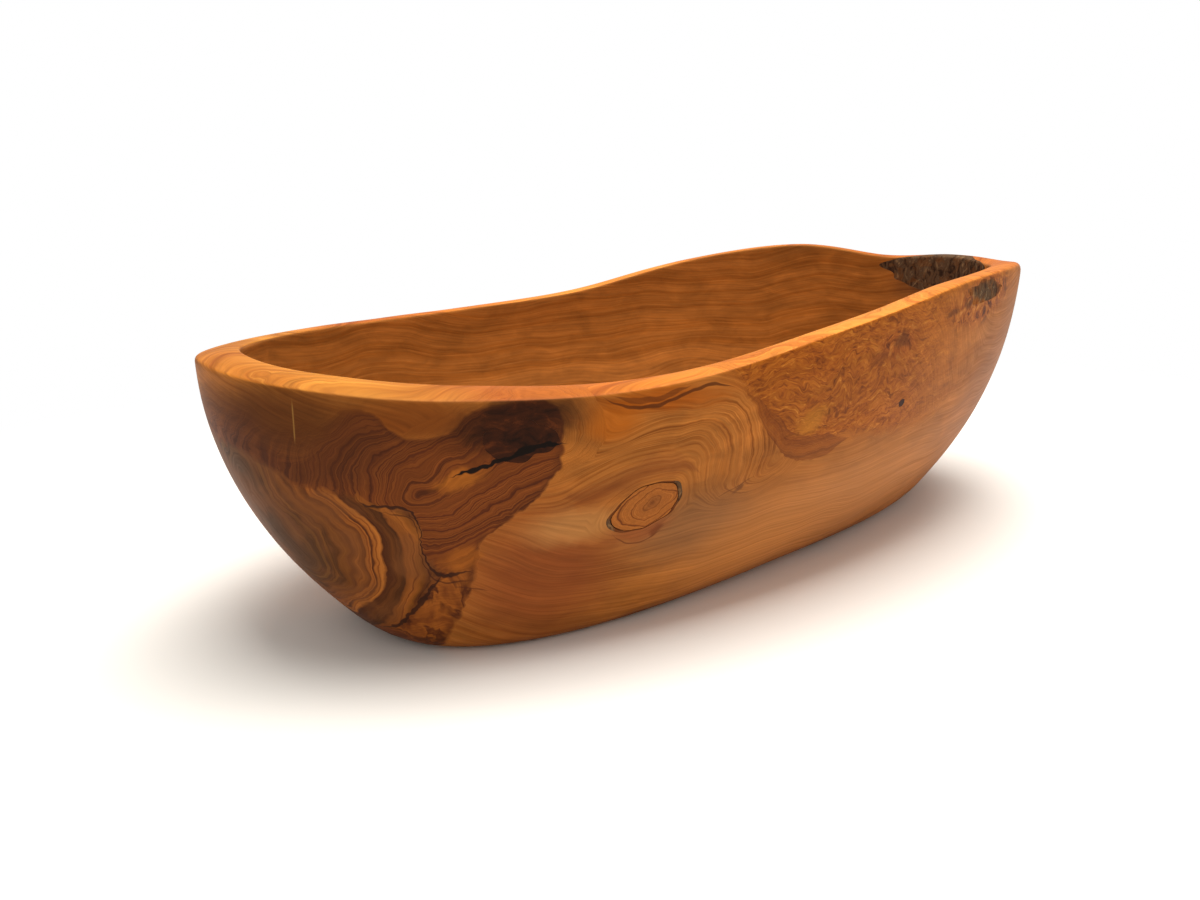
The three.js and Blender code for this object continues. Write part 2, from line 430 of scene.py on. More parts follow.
def drawn_stroke(tree, along, across, marks, width):
    """Share of a line of a half width along a few marks, that thins out at both ends."""
    gap = add(tree, "Math", {0: drawn_edge(tree, along, marks), 1: across}, operation="SUBTRACT")
    gap = add(tree, "Math", {0: gap}, operation="ABSOLUTE")
    low, high = min(m[0] for m in marks), max(m[0] for m in marks)
    reach = add(tree, "Math", {0: along, 1: (low + high) / 2}, operation="SUBTRACT")
    reach = add(tree, "Math", {0: reach}, operation="ABSOLUTE")
    half = (high - low) / 2
    room = add(tree, "MapRange", {0: reach, 1: half, 2: half * STROKE_CORE, 4: width},
               interpolation_type="SMOOTHSTEP")
    over = add(tree, "Math", {0: room, 1: gap}, operation="SUBTRACT")
    return add(tree, "MapRange", {0: over, 1: 0, 2: STROKE_EDGE}, interpolation_type="SMOOTHSTEP")


def spread_from(tree, place, middle, reach, turn=(0, 0, 0)):
    """Distance from a middle, as a share of its reach along each axis of a turned frame."""
    own = add(tree, "Mapping", {"Vector": place, "Location": middle, "Scale": reach,
                                "Rotation": [math.radians(a) for a in turn]}, vector_type="TEXTURE")
    return add(tree, "VectorMath", {0: own}, operation="LENGTH").node.outputs["Value"]


def nearness(tree, place, middle, reach, start, full, turn=(0, 0, 0)):
    """Share that grows from 0 to 1 between a start and a full share of the reach from a middle."""
    spread = spread_from(tree, place, middle, reach, turn)
    return add(tree, "MapRange", {0: spread, 1: start, 2: full}, interpolation_type="SMOOTHSTEP")


def wandered(tree, place, waves):
    """Places that wander in waves, each of a breadth and by up to a depth."""
    for breadth, depth in waves:
        wave = add(tree, "TexNoise", {"Vector": place, "Scale": 1 / breadth, "Detail": 1})
        wave = wave.node.outputs["Color"]
        wave = add(tree, "VectorMath", {0: wave, 1: (0.5, 0.5, 0.5)}, operation="SUBTRACT")
        place = add(tree, "VectorMath", {0: wave, 1: [2 * depth] * 3, 2: place}, operation="MULTIPLY_ADD")
    return place


def parted(tree, place, middle, reach, turn, share):
    """Places drawn in towards a middle, so that lines drawn there part and flow round it."""
    spread = spread_from(tree, place, middle, reach, turn)
    near = add(tree, "MapRange", {0: spread, 1: 1, 2: 0, 4: share}, interpolation_type="SMOOTHSTEP")
    home = add(tree, "VectorMath", {0: middle, 1: place}, operation="SUBTRACT")
    return add(tree, "VectorMath", {0: home, 1: near, 2: place}, operation="MULTIPLY_ADD")


def round_axis(tree, place, head, tail, squash):
    """Distance from the axis between two points, in places squashed along each of their own axes."""
    span = tail - head
    arm = add(tree, "VectorMath", {0: place, 1: head}, operation="SUBTRACT")
    share = add(tree, "VectorMath", {0: arm, 1: span / span.length_squared}, operation="DOT_PRODUCT")
    share = add(tree, "Math", {0: share.node.outputs["Value"], 1: 0}, operation="ADD", use_clamp=True)
    foot = add(tree, "VectorMath", {0: span, "Scale": share}, operation="SCALE")
    arm = add(tree, "VectorMath", {0: arm, 1: foot}, operation="SUBTRACT")
    arm = add(tree, "VectorMath", {0: arm, 1: squash}, operation="MULTIPLY")
    return add(tree, "VectorMath", {0: arm}, operation="LENGTH").node.outputs["Value"]


def banded(tree, ring, breadth, stops):
    """Colours of bands of a breadth, that follow the rings."""
    tone = add(tree, "TexNoise", {"W": ring, "Scale": 1 / breadth, "Detail": 4, "Roughness": 0.6},
               noise_dimensions="1D")
    return add(tree, "ValToRGB", {"Fac": tone}, stops=stops)


def toned(tree, colour, pattern, spread, darkest, lightest):
    """Colour made darker and lighter by a pattern, whose values lie within a spread about a half."""
    tone = add(tree, "MapRange", {0: pattern, 1: 0.5 - spread, 2: 0.5 + spread, 3: darkest, 4: lightest})
    return add(tree, "VectorMath", {0: colour, "Scale": tone}, operation="SCALE")


def stained(tree, colour, mask, most, stain):
    """Colour mixed with a stain, up to a share, where a mask lies."""
    share = add(tree, "Math", {0: mask, 1: most}, operation="MULTIPLY")
    stain = linear(stain) if isinstance(stain, str) else stain
    return add(tree, "Mix", {"Factor": share, "A": colour, "B": stain}, data_type="RGBA")


# Waves that places wander in, from broad to fine, each with its breadth and depth
FLOWING = [(65, 9), (24, 1.5)]
LOOSE = [(12, 1.8), (3.5, 0.7)]
TEARS = [(3, 1.1)]
SHAKEN = [(6, 0.9)]
TWISTED = [(30, 7), (14, 3.5), (5, 1.2), (2, 0.4)]
CURLED = [(36, 9), (12, 4), (4, 1.8)]
STIRRED = [(7, 2.4), (2.5, 1.1)]
EYE_WAVES = [(14, 1.2)]
KNOT_WAVES = [(11, 2.2), (4, 1)]
BLOT_WAVES = [(8, 2)]
BARK_WAVES = [(9, 2)]
BARK_EDGE_WAVES = [(8, 3), (3, 1.2)]

# The log: its pith runs along X, behind and under the bowl
PITH_Y = 30
PITH_Z = -60

# Places that the rings of the log flow round: middle, reach, turn and share
FLOWS = [
    (Vector((-124, -75, 80)), (46, 70, 34), (0, -15, 0), 0.85),
    (Vector((-95, -83, 80.5)), (22, 40, 14), (0, 0, 0), 0.85),
    (Vector((-62, -86, 82)), (15, 40, 10), (0, 0, 0), 0.7),
    (Vector((-80, -82, 48)), (46, 60, 32), (0, -20, 0), 0.9),
    (Vector((18, -88, 84)), (88, 90, 42), (0, 0, 0), 0.55),
]

# Axis of the rim knot, from the wall back into the wood, and axis of the shell-shaped bands below it
RIM_KNOT_HEAD = Vector((-116, -78, 81))
RIM_KNOT_TAIL = Vector((-150, -63, 62))
RIM_KNOT_SQUASH = (1, 0.45, 1)
SHELL_HEAD = Vector((-188, -12, 66))
SHELL_FOOT = Vector((-176, -24, 40))
SHELL_REACH = 48

# Front knot: its middle on the wall, its tilt along the wall, and the core of its rings
KNOT_MIDDLE = Vector((-81.8, -82, 49.8))
KNOT_REACH = (15.5, 12, 8.5)
KNOT_TURN = (0, -20, 0)
KNOT_CORE = (-78.5, -82, 50.8)
KNOT_RING_REACH = (13, 12, 7)
KNOT_RING_STEP = 9

# Rings about the front knot, and lines that bend down right of it: the step and the start of their
# count keep them in line with the rings of the log
EYE_RING_STEP = 12
EYE_RING_START = 140
HOOK_MIDDLE = (-76, -88, 60)
HOOK_RING_START = 147
HOOK_ZONE = (-44, -88, 66)
HOOK_ZONE_REACH = (27, 40, 23)

# Middle stretch of the front knot's sleeve, and the dark part of the outer bark pocket
SLEEVE_SIDES = (13, 400, 400)
OUTER_BARK_REACH = (19, 40, 6)

# Zones of clearer figure, of fine hatching and of broken patches
FIGURE_ZONE = (-74, -84, 66)
FIGURE_ZONE_REACH = (58, 60, 30)
HATCH_ZONE = (-178, -42, 77)
HATCH_ZONE_REACH = (30, 50, 18)
PATCH_ZONE = (-141, -55, 16)
PATCH_ZONE_REACH = (18, 40, 22)

# Breadths of rings and bands, and sizes of flecks, lumps and clouds
RING_BREADTH = 4
FIGURE_BREADTH = 2.6
HEART_BREADTH = 2.8
SHELL_LINE_BREADTH = 1.8
RIND_BREADTH = 1.6
KNOT_BREADTH = 1.6
CLEARING_SIZE = 16
FADE_SIZE = 15
PATCH_SIZE = 17
LUMP_SIZE = 4.5
GROWN_SIZE = 5
CLOUD_SIZE = (20, 16, 8)
CLOUD_TILT = -25
FLECK_SIZE = (5, 5, 1.5)
BLOT_SIZE = (7, 7, 3.5)
BARK_FLECK_SIZE = (3, 3, 6)
CURL_ACROSS = (-0.35, -0.3, 1)

# Fibres of olive wood are about 0.2 mm wide, too fine to show, and are drawn coarser
FIBRE_WIDTH = 0.8
FIBRE_LENGTH = 14
KNOT_FIBRE_SIZE = 0.9
SHIMMER_STRETCH = (0.1, 0.7, 0.7)

# Edges on the front wall, as marks of X and height, or of height and X where they stand
HEART_SIDE = [(0, -140), (13, -137), (33, -133.6), (41.5, -133.8), (48.7, -127.4), (56, -119.5),
              (63.5, -113.5), (71, -110.5), (80, -110.5), (86, -113.5), (92, -119), (118, -124)]
HEART_TOP = [(-196, 86), (-190, 84), (-178.6, 77.5), (-165, 87), (-157, 82), (-149.4, 78.5),
             (-139, 85), (-134, 87.5), (-126, 88.6), (-112, 88.6), (-104, 87)]
SHELL_TOP = [(-198, 77), (-189, 72.2), (-184, 68.5), (-178.5, 63.5), (-169, 62), (-162.5, 58.5),
             (-154.6, 57), (-150.5, 52), (-148.5, 42), (-143, 34), (-141, 25)]
SHELL_SIDE = [(0, -157), (9, -153.4), (20, -148.6), (27, -146.5), (34, -143), (44, -140), (60, -138)]
BURL_FOOT = [(-60, 96), (-50, 88), (-44.8, 81), (-33, 66.4), (-22.3, 58.5), (-14, 58), (10.7, 60),
             (39, 56), (62, 57), (80, 66), (100, 84), (120, 100)]
BURL_RIND = [(-50, 90), (-44.8, 83), (-33, 70), (-22.3, 62), (-8, 59.5), (10, 61)]
CRESCENT = [(-104, 94), (-99.6, 89.2), (-97, 87), (-91, 85), (-83, 83.8), (-75, 85.4), (-67, 88),
            (-61, 88.8), (-52, 87), (-47, 84)]
CRESCENT_BAND = [(a, b + 2.2) for a, b in CRESCENT[2:7]]
RIM_CRACK = [(-145, 65.5), (-142.5, 66.4), (-129.3, 71), (-122, 73.6), (-112.5, 74.7), (-106, 75)]
KNOT_ARCH = [(-112, 56.3), (-105, 56.8), (-96, 58), (-85.6, 61), (-81, 63.4), (-71.5, 63),
             (-64, 60.5), (-60, 57)]
KNOT_CRACK = [(-56, 46.6), (-45, 51), (-34, 55)]
KNOT_LOBE = [(-94.5, 45), (-92.5, 42.4), (-88.4, 38.5), (-82.5, 36.4), (-76.2, 38.2), (-72.4, 41.2),
             (-70, 46)]
HIGH_VEIN = [(-170, 63), (-167, 62.5), (-162.5, 58.3), (-154.6, 57.3), (-150.8, 52), (-148.5, 42),
             (-143, 34), (-134.4, 33.4), (-130, 33)]
SIDE_VEIN = [(a, b - 2.6) for a, b in HIGH_VEIN[2:]]
LOW_VEIN = [(4, -156), (9, -153.4), (20, -148.6), (27, -146.3), (34, -142.5), (37, -141)]
BRIGHT_BAND = [(44, -150), (49.5, -151.4), (54.8, -155.8), (58.1, -161.2), (62.4, -165.1), (65, -165)]
SPIKE = [(-141, 28.5), (-133.6, 27), (-127, 25)]
SCRATCH = [(75, -178.8), (84, -178.9), (93, -178.8)]

# Marks on the front wall fade out towards the middle of the bowl, between these places along Y
FRONT_START = -14
FRONT_FULL = -30

# The heart draws back from the near end: behind this Y, by this much for each millimetre
HEART_TURN_Y = -8
HEART_TURN_SLOPE = 1.2

# Broad tints on the plain wood, and among them a painted highlight and a painted shade: middle, reach, colour
# and share
TINTS_AND_PAINTED_LIGHT = [
    ((-182, -34, 84), (38, 50, 15), "#4f2606", 0.9),
    ((-150, -62, 85), (26, 24, 10), "#74390a", 0.85),
    ((-114, -70, 28), (36, 40, 38), "#803e1a", 0.8),
    ((-60, -80, 38), (34, 30, 20), "#7c5434", 0.7),
    ((40, -75, 28), (110, 40, 34), "#b97a45", 0.8),
    ((-20, -72, 18), (54, 30, 28), "#bd783a", 0.7),
    # Painted highlight: a pale streak of satin sheen, left of the front knot
    ((-104, -76, 46), (22, 20, 8), "#c48c4e", 0.5),
    ((-80, -87, 86), (34, 12, 5), "#9c4a00", 0.75),
    ((-22, -92, 92), (36, 20, 7), "#a55000", 0.85),
    ((125, -66, 70), (44, 40, 44), "#93592e", 0.7),
    ((-95, -83, 80), (12, 20, 7), "#ac5600", 0.6),
    # Darker inside the far end: dark heartwood, and painted shade on the inner wall there
    ((174, 0, 102), (13, 30, 18), "#3a251d", 0.8),
]

# Colours of each wood and bark, from one end of its pattern to the other
PLAIN_BANDS = [(0.3, "#99571c"), (0.42, "#a26024"), (0.52, "#aa672a"), (0.6, "#a05e22"), (0.7, "#96551c")]
FIGURED_BANDS = [(0.3, "#7d410f"), (0.4, "#9a571b"), (0.48, "#a96426"), (0.54, "#b06c2c"),
                 (0.59, "#8a4a14"), (0.62, "#a86325"), (0.7, "#81440f")]
BURL_FLECKS = [(0.3, "#5c2806"), (0.42, "#86420b"), (0.5, "#9a5110"), (0.6, "#a95e17"), (0.72, "#c9812e")]
BURL_RIND_BANDS = [(0.3, "#5c2606"), (0.45, "#74380c"), (0.55, "#8a4812"), (0.7, "#632b07")]
BURL_LUMPS = [(0.36, "#4a1f07"), (0.45, "#8a4412"), (0.54, "#a55a1a"), (0.66, "#c27c34")]
HEART_BANDS = [(0.3, "#481f09"), (0.4, "#5e2b0d"), (0.47, "#713811"), (0.53, "#7e4216"),
               (0.57, "#68310f"), (0.61, "#4c220a"), (0.65, "#733913"), (0.72, "#5a290c")]
SHELL_BANDS = [
    (0.1, "#503017"), (0.16, "#5f3a1a"), (0.18, "#482811"), (0.24, "#653e16"), (0.26, "#42230d"),
    (0.3, "#6d4016"), (0.33, "#48260b"), (0.37, "#774316"), (0.4, "#542b0d"), (0.43, "#824818"),
    (0.46, "#5c2f0e"), (0.48, "#8a4c1a"), (0.52, "#a25c22"), (0.535, "#54290d"), (0.55, "#94521c"),
    (0.6, "#a86224"), (0.625, "#5c2e0d"), (0.64, "#4a240b"), (0.69, "#5e3210"), (0.74, "#4e290c"),
    (0.765, "#402008"), (0.785, "#7c4316"), (0.86, "#8e4f1b"), (0.89, "#74400f"), (0.91, "#552b0c"),
]
SHELL_LINES = [(0.3, "#7b5636"), (0.45, "#ffffff"), (0.6, "#ffffff"), (0.7, "#957048")]
HEART_PATCHES = [(0.36, "#421c08"), (0.43, "#7c4014"), (0.5, "#9a551c"), (0.54, "#4c220a"),
                 (0.6, "#84461a"), (0.68, "#5c2b0e")]
# Rings of the rim top, partly its own wood and partly painted light: lighter than the walls, as the lamp
# above falls on it
LIT_RIM_BANDS = [(0.3, "#c06a1c"), (0.43, "#e88e32"), (0.53, "#f49c3d"), (0.6, "#cc7826"),
             (0.64, "#ee9235"), (0.72, "#c46d1e")]
# Painted light, painted shade and a bluish painted sheen along the rim top, from its near end to its far end
RIM_LIGHT_AND_SHEEN = [(0.02, "#ccc3ae"), (0.08, "#e8f4ee"), (0.17, "#bfa294"), (0.27, "#d1b890"),
              (0.5, "#ffffff"), (0.92, "#c4aa92")]
KNOT_BANDS = [(0.3, "#55280c"), (0.42, "#8e4c18"), (0.5, "#aa6428"), (0.58, "#9c581f"),
              (0.66, "#6b3610"), (0.74, "#ae692b")]
DARK_BLOTS = [(0.3, "#170802"), (0.42, "#2c1205"), (0.56, "#391806"), (0.7, "#5a2a0e")]
BARK_FLECKS = [(0.3, "#1e110a"), (0.42, "#3f2a1b"), (0.5, "#5e432b"), (0.57, "#523e2d"), (0.68, "#8c6d49")]
GROWN_IN_WOOD = [(0.32, "#4a220a"), (0.48, "#8a4a16"), (0.66, "#ab672c")]

# Oil soaks into the wood, so it stays satin, with a weak sheen
OILED_IOR = 1.35
OILED_SHEEN = 0.15
WOOD_RELIEF = 0.15
DARK_KNOT_RELIEF = 0.2
BARK_RELIEF = 0.6


def surfaced(tree, colour, roughness, pattern, relief):
    """Oiled surface with a pattern in relief, of a depth in millimetres that is also its strength."""
    bump = add(tree, "Bump", {"Height": pattern, "Strength": relief, "Distance": relief * MM})
    surface = add(tree, "BsdfPrincipled", {"Base Color": colour, "Roughness": roughness, "IOR": OILED_IOR,
                                           "Specular IOR Level": OILED_SHEEN, "Normal": bump})
    add(tree, "OutputMaterial", {"Surface": surface})


def dark_blots(tree, place):
    """Nearly black-brown blots with redder streaks between them."""
    blot = add(tree, "Mapping", {"Vector": wandered(tree, place, BLOT_WAVES),
                                 "Scale": [1 / size for size in BLOT_SIZE]})
    blot = add(tree, "TexNoise", {"Vector": blot, "Scale": 1, "Detail": 5, "Roughness": 0.62,
                                  "Distortion": 0.6})
    return add(tree, "ValToRGB", {"Fac": blot}, stops=DARK_BLOTS)


def wood_places(tree, place):
    """Places on the wood, true and wandering, and rings about the rim knot, which its layers share."""
    axes = add(tree, "SeparateXYZ", {0: place}).node.outputs
    loose = wandered(tree, place, LOOSE)
    twisted = wandered(tree, place, TWISTED)
    return SimpleNamespace(
        tree=tree,
        place=place,
        axes=axes,
        front=add(tree, "MapRange", {0: axes["Y"], 1: FRONT_START, 2: FRONT_FULL},
                  interpolation_type="SMOOTHSTEP"),
        loose=loose,
        twisted=twisted,
        curled=wandered(tree, place, CURLED),
        loose_axes=add(tree, "SeparateXYZ", {0: loose}).node.outputs,
        shaken_axes=add(tree, "SeparateXYZ", {0: wandered(tree, place, SHAKEN)}).node.outputs,
        torn_axes=add(tree, "SeparateXYZ", {0: wandered(tree, loose, TEARS)}).node.outputs,
        knot_ring=round_axis(tree, twisted, RIM_KNOT_HEAD, RIM_KNOT_TAIL, RIM_KNOT_SQUASH),
    )


def log_rings(tree, place):
    """Growth rings of the log, which flow round the knots and the burl."""
    flow = wandered(tree, place, FLOWING)
    for middle, reach, turn, share in FLOWS:
        flow = parted(tree, flow, middle, reach, turn, share)
    across = add(tree, "VectorMath", {0: flow, 1: (0, 1, 1), 2: (0, -PITH_Y, -PITH_Z)},
                 operation="MULTIPLY_ADD")
    return add(tree, "VectorMath", {0: across}, operation="LENGTH").node.outputs["Value"]


def plain_rings(wood):
    """Rings of the plain wood: the log's, but about the knots and right of the front knot their own."""
    tree = wood.tree
    hug = add(tree, "MapRange", {0: wood.knot_ring, 1: 18, 2: 11}, interpolation_type="SMOOTHSTEP")
    ring = add(tree, "Mix", {"Factor": hug, "A": log_rings(tree, wood.place), "B": wood.knot_ring})
    eye = spread_from(tree, wandered(tree, wood.place, EYE_WAVES), KNOT_MIDDLE, KNOT_REACH, KNOT_TURN)
    eye_ring = add(tree, "Math", {0: eye, 1: EYE_RING_STEP, 2: EYE_RING_START}, operation="MULTIPLY_ADD")
    hug = add(tree, "MapRange", {0: eye, 1: 1.5, 2: 1.05}, interpolation_type="SMOOTHSTEP")
    ring = add(tree, "Mix", {"Factor": hug, "A": ring, "B": eye_ring})
    hook_ring = spread_from(tree, wood.loose, HOOK_MIDDLE, (1, 1, 1))
    hook_ring = add(tree, "Math", {0: hook_ring, 1: HOOK_RING_START}, operation="ADD")
    hug = nearness(tree, wood.loose, HOOK_ZONE, HOOK_ZONE_REACH, 1.15, 0.55)
    return add(tree, "Mix", {"Factor": hug, "A": ring, "B": hook_ring})


def plain_colour(wood, ring):
    """Bands of the plain wood, drawn more clearly about the front knot, under soft clouds and tints, among
    them a painted highlight and a painted shade.
    """
    tree = wood.tree
    colour = banded(tree, ring, RING_BREADTH, PLAIN_BANDS)
    figured = banded(tree, ring, FIGURE_BREADTH, FIGURED_BANDS)
    lively = nearness(tree, wood.loose, FIGURE_ZONE, FIGURE_ZONE_REACH, 1.2, 0.7)
    clear = add(tree, "TexNoise", {"Vector": wood.loose, "Scale": 1 / CLEARING_SIZE, "Detail": 2})
    clear = add(tree, "MapRange", {0: clear, 1: 0.36, 2: 0.56, 3: 0.4, 4: 1}, interpolation_type="SMOOTHSTEP")
    lively = add(tree, "Math", {0: lively, 1: clear}, operation="MULTIPLY")
    colour = stained(tree, colour, lively, 0.9, figured)
    cloud = add(tree, "Mapping", {"Vector": wood.loose, "Rotation": (0, math.radians(CLOUD_TILT), 0),
                                  "Scale": [1 / size for size in CLOUD_SIZE]})
    cloud = add(tree, "TexNoise", {"Vector": cloud, "Scale": 1, "Detail": 4, "Roughness": 0.55,
                                   "Distortion": 0.5})
    colour = toned(tree, colour, cloud, 0.18, 0.78, 1.18)
    # Tints, with a painted satin highlight left of the front knot and painted shade inside the far end
    for middle, reach, stain, share in TINTS_AND_PAINTED_LIGHT:
        near = nearness(tree, wood.loose, middle, reach, 1.15, 0.25)
        colour = stained(tree, colour, near, share, stain)
    return colour


def with_burl(wood, colour, ring):
    """Burl: fine curly flecks above a drawn edge, with a redder rind, that fade out towards the far end."""
    tree = wood.tree
    loose = wood.loose_axes
    fleck = add(tree, "Mapping", {"Vector": wood.curled, "Scale": [1 / size for size in FLECK_SIZE]})
    fleck = add(tree, "TexNoise", {"Vector": fleck, "Scale": 1, "Detail": 4, "Roughness": 0.65,
                                   "Distortion": 1})
    flecks = add(tree, "ValToRGB", {"Fac": fleck}, stops=BURL_FLECKS)
    foot = drawn_edge(tree, loose["X"], BURL_FOOT)
    above = add(tree, "Math", {0: loose["Z"], 1: foot}, operation="SUBTRACT")
    burl = add(tree, "MapRange", {0: above, 1: -2, 2: 6}, interpolation_type="SMOOTHSTEP")
    near = add(tree, "MapRange", {0: wood.axes["X"], 1: 105, 2: 20}, interpolation_type="SMOOTHSTEP")
    burl = add(tree, "Math", {0: burl, 1: near}, operation="MULTIPLY")
    burl = add(tree, "Math", {0: burl, 1: wood.front}, operation="MULTIPLY")
    colour = stained(tree, colour, burl, 0.9, flecks)
    rind = drawn_stroke(tree, loose["X"], loose["Z"], BURL_RIND, 5)
    rind = add(tree, "Math", {0: rind, 1: wood.front}, operation="MULTIPLY")
    colour = stained(tree, colour, rind, 0.7, banded(tree, above, RIND_BREADTH, BURL_RIND_BANDS))
    curl = add(tree, "VectorMath", {0: wood.curled, 1: CURL_ACROSS}, operation="DOT_PRODUCT")
    curl = curl.node.outputs["Value"]
    return colour, add(tree, "Mix", {"Factor": burl, "A": ring, "B": curl})


def shell_colour(tree, shell_ring, twisted):
    """Shell-shaped bands with fine lines, which fade here and there."""
    share = add(tree, "MapRange", {0: shell_ring, 1: 0, 2: SHELL_REACH})
    colour = add(tree, "ValToRGB", {"Fac": share}, stops=SHELL_BANDS)
    lines = banded(tree, shell_ring, SHELL_LINE_BREADTH, SHELL_LINES)
    colour = add(tree, "Mix", {"Factor": 0.6, "A": colour, "B": lines}, data_type="RGBA",
                 blend_type="MULTIPLY")
    faded = add(tree, "TexNoise", {"Vector": twisted, "Scale": 1 / FADE_SIZE, "Detail": 2})
    faded = add(tree, "MapRange", {0: faded, 1: 0.42, 2: 0.62}, interpolation_type="SMOOTHSTEP")
    return stained(tree, colour, faded, 0.55, "#764420")


def heartwood(wood):
    """Dark heartwood and its rings: about the rim knot, and shell-shaped under the veins."""
    tree = wood.tree
    torn = wood.torn_axes
    colour = banded(tree, wood.knot_ring, HEART_BREADTH, HEART_BANDS)
    hatch = nearness(tree, wood.place, HATCH_ZONE, HATCH_ZONE_REACH, 1.15, 0.5)
    colour = stained(tree, colour, hatch, 0.6, "#45210c")
    shell_ring = round_axis(tree, wood.twisted, SHELL_HEAD, SHELL_FOOT, (1, 1, 1))
    under = add(tree, "Math", {0: drawn_edge(tree, torn["X"], SHELL_TOP), 1: torn["Z"]}, operation="SUBTRACT")
    beside = add(tree, "Math", {0: drawn_edge(tree, torn["Z"], SHELL_SIDE), 1: torn["X"]},
                 operation="SUBTRACT")
    shell = add(tree, "Math", {0: under, 1: beside}, operation="MINIMUM")
    shell = add(tree, "MapRange", {0: shell, 1: -1.5, 2: 1.5}, interpolation_type="SMOOTHSTEP")
    colour = stained(tree, colour, shell, 1, shell_colour(tree, shell_ring, wood.twisted))
    bright = drawn_stroke(tree, wood.loose_axes["Z"], wood.loose_axes["X"], BRIGHT_BAND, 2)
    colour = stained(tree, colour, bright, 0.45, "#96551c")
    patch = add(tree, "TexNoise", {"Vector": wood.twisted, "Scale": 1 / PATCH_SIZE, "Detail": 4,
                                   "Distortion": 0.7})
    patch = add(tree, "ValToRGB", {"Fac": patch}, stops=HEART_PATCHES)
    low = nearness(tree, wood.loose, PATCH_ZONE, PATCH_ZONE_REACH, 1.1, 0.7)
    outside = add(tree, "Math", {0: 1, 1: shell}, operation="SUBTRACT")
    low = add(tree, "Math", {0: low, 1: outside}, operation="MULTIPLY")
    colour = stained(tree, colour, low, 0.85, patch)
    return colour, add(tree, "Mix", {"Factor": shell, "A": wood.knot_ring, "B": shell_ring})


def with_heartwood(wood, colour, ring):
    """Heartwood: left of its side edge and under its top edge, less and less far round the near end."""
    tree = wood.tree
    torn = wood.torn_axes
    loose = wood.loose_axes
    round_end = add(tree, "Math", {0: wood.axes["Y"], 1: HEART_TURN_Y}, operation="MAXIMUM")
    round_end = add(tree, "Math", {0: round_end, 1: HEART_TURN_SLOPE, 2: -HEART_TURN_SLOPE * HEART_TURN_Y},
                    operation="MULTIPLY_ADD")
    side = add(tree, "Math", {0: drawn_edge(tree, torn["Z"], HEART_SIDE), 1: torn["X"]}, operation="SUBTRACT")
    side = add(tree, "Math", {0: side, 1: round_end}, operation="SUBTRACT")
    top = add(tree, "Math", {0: drawn_edge(tree, loose["X"], HEART_TOP), 1: loose["Z"]}, operation="SUBTRACT")
    inside = add(tree, "Math", {0: side, 1: top}, operation="MINIMUM")
    blur = add(tree, "MapRange", {0: wood.axes["X"], 1: -176, 2: -163, 3: 7, 4: 0.8})
    heart = add(tree, "Math", {0: inside, 1: blur}, operation="DIVIDE")
    heart = add(tree, "MapRange", {0: heart, 1: -1, 2: 1}, interpolation_type="SMOOTHSTEP")
    heart_colour, heart_ring = heartwood(wood)
    colour = stained(tree, colour, heart, 1, heart_colour)
    rind = add(tree, "MapRange", {0: inside, 1: 3.5, 2: 0}, interpolation_type="SMOOTHSTEP")
    rind = add(tree, "Math", {0: rind, 1: heart}, operation="MULTIPLY")
    colour = stained(tree, colour, rind, 0.5, "#451f09")
    return colour, add(tree, "Mix", {"Factor": heart, "A": ring, "B": heart_ring})


def with_spots(wood, colour):
    """Dark head of the rim knot, patches by its crack, the front knot's lobe, and eyes and lumps of burl."""
    tree = wood.tree
    lump = add(tree, "TexNoise", {"Vector": wood.curled, "Scale": 1 / LUMP_SIZE, "Detail": 4,
                                  "Roughness": 0.6, "Distortion": 1})
    lumps = add(tree, "ValToRGB", {"Fac": lump}, stops=BURL_LUMPS)
    # Middle, reach, turn, share and colour of each spot
    spots = [
        ((-124, -75, 82), (25, 25, 11), (0, -10, 0), 0.95, dark_blots(tree, wood.place)),
        ((-140, -67, 65.7), (9, 12, 3.4), (0, -20, 0), 0.6, "#b0641c"),
        ((-138, -63, 39), (7, 12, 5), (0, -30, 0), 0.6, "#a05818"),
        ((-143, -62, 19), (6, 12, 8), (0, -30, 0), 0.5, "#9a5317"),
        ((-75.2, -80, 40), (3.6, 8, 2.2), (0, -30, 0), 0.75, "#4d2410"),
        ((-82, -79, 42), (13, 15, 7), (0, -8, 0), 0.6, "#8c4620"),
        ((-15, -91, 71), (8, 14, 5.5), (0, -20, 0), 0.5, "#c07a20"),
        ((27, -92, 94.5), (15, 14, 8), (0, -10, 0), 0.8, lumps),
        ((29, -92, 95), (6, 10, 3.4), (0, -10, 0), 0.6, "#45200a"),
        ((16.2, -92, 89.5), (7, 9, 3.5), (0, -20, 0), 0.5, "#6a320a"),
        ((-44, -86, 50.5), (3.5, 8, 1.4), (0, -35, 0), 0.6, "#5a331c"),
        ((90, -82, 105), (38, 24, 12), (0, -8, 0), 0.95, lumps),
        ((78, -84, 105), (9, 12, 3), (0, -12, 0), 0.7, "#3a1c0a"),
        ((62, -86, 102), (6, 12, 2), (0, -12, 0), 0.6, "#4d260c"),
    ]
    stirred = wandered(tree, wood.place, STIRRED)
    for middle, reach, turn, share, stain in spots:
        near = nearness(tree, stirred, middle, reach, 1.15, 0.4, turn)
        colour = stained(tree, colour, near, share, stain)
    return colour


